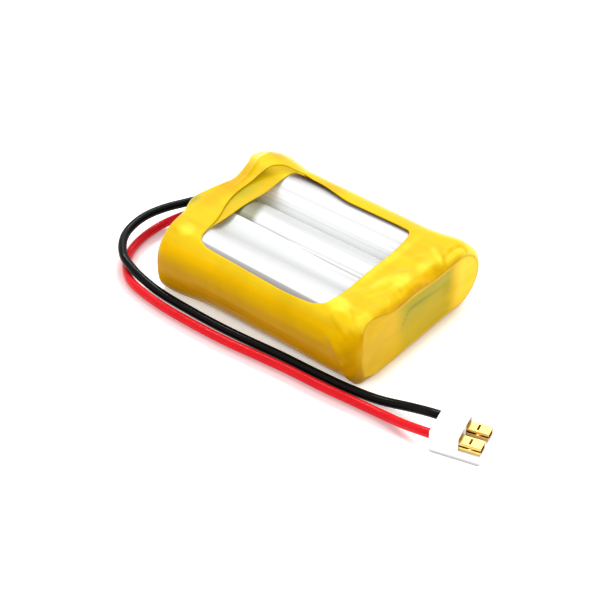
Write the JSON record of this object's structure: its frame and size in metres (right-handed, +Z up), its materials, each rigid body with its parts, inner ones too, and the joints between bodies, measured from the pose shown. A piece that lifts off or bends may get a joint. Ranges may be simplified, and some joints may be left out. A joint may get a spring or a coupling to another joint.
{
  "type": "battery pack",
  "caption": "Flat pack of cylindrical cells side by side in a yellow shrink wrap with an open window, with a red and a black lead to a white plug.",
  "frame": {"origin": "centre of the flat underside of the wrap, on the surface that the pack lies on", "axes": "+X along the cells, away from the end that the leads leave; +Y across the row of cells; +Z up, through the thickness"},
  "size_m": [0.1035, 0.0489, 0.0152],
  "materials": {
    "nickel_steel": "satin nickel-plated steel",
    "nickel_strip": "satin nickel",
    "aluminium": "satin",
    "electrode": "matt wound foil and separator",
    "fish_paper": "matt insulating paper",
    "gasket": "matt moulded polypropylene",
    "silver_sleeve": "bright metallised heat-shrink film with fine lengthwise lines",
    "end_pad": "matt foam pad",
    "end_sheet": "translucent yellow sheet",
    "board": "green solder mask",
    "chip": "moulded epoxy",
    "resistor": "satin",
    "capacitor": "satin",
    "solder": "bright solder",
    "white_wire": "satin insulation",
    "red_wire": "glossy silicone insulation",
    "black_wire": "glossy silicone insulation",
    "yellow_tape": "satin translucent tape",
    "yellow_film": "glossy translucent heat-shrink film",
    "white_nylon": "satin moulded nylon",
    "gold": "bright gold-plated brass"
  },
  "bodies": {
    "root": {"binding_tape": "yellow_tape", "board_insulator": "fish_paper", "cell_1_can": "nickel_steel", "cell_1_cap_washer": "fish_paper", "cell_1_gasket": "gasket", "cell_1_jelly_roll": "electrode", "cell_1_lower_insulator": "fish_paper", "cell_1_positive_cap": "nickel_steel", "cell_1_sleeve": "silver_sleeve", "cell_1_upper_insulator": "fish_paper", "cell_1_vent_disc": "aluminium", "cell_2_can": "nickel_steel", "cell_2_cap_washer": "fish_paper", "cell_2_gasket": "gasket", "cell_2_jelly_roll": "electrode", "cell_2_lower_insulator": "fish_paper", "cell_2_positive_cap": "nickel_steel", "cell_2_sleeve": "silver_sleeve", "cell_2_upper_insulator": "fish_paper", "cell_2_vent_disc": "aluminium", "cell_3_can": "nickel_steel", "cell_3_cap_washer": "fish_paper", "cell_3_gasket": "gasket", "cell_3_jelly_roll": "electrode", "cell_3_lower_insulator": "fish_paper", "cell_3_positive_cap": "nickel_steel", "cell_3_sleeve": "silver_sleeve", "cell_3_upper_insulator": "fish_paper", "cell_3_vent_disc": "aluminium", "connector_housing": "white_nylon", "contact_black": "gold", "contact_red": "gold", "end_pad": "end_pad", "end_sheet": "end_sheet", "filter_capacitor": "capacitor", "groove_sheet": "silver_sleeve", "lead_black": "black_wire", "lead_red": "red_wire", "link_1_2": "nickel_strip", "link_2_3": "nickel_strip", "mosfet_1": "chip", "mosfet_2": "chip", "negative_tab": "nickel_strip", "positive_tab": "nickel_strip", "positive_wire": "red_wire", "protection_board": "board", "protection_chip": "chip", "sense_resistor": "resistor", "sense_wire": "white_wire", "solder_black": "solder", "solder_red": "solder", "wrap_film": "yellow_film"}
  },
  "joints": []
}
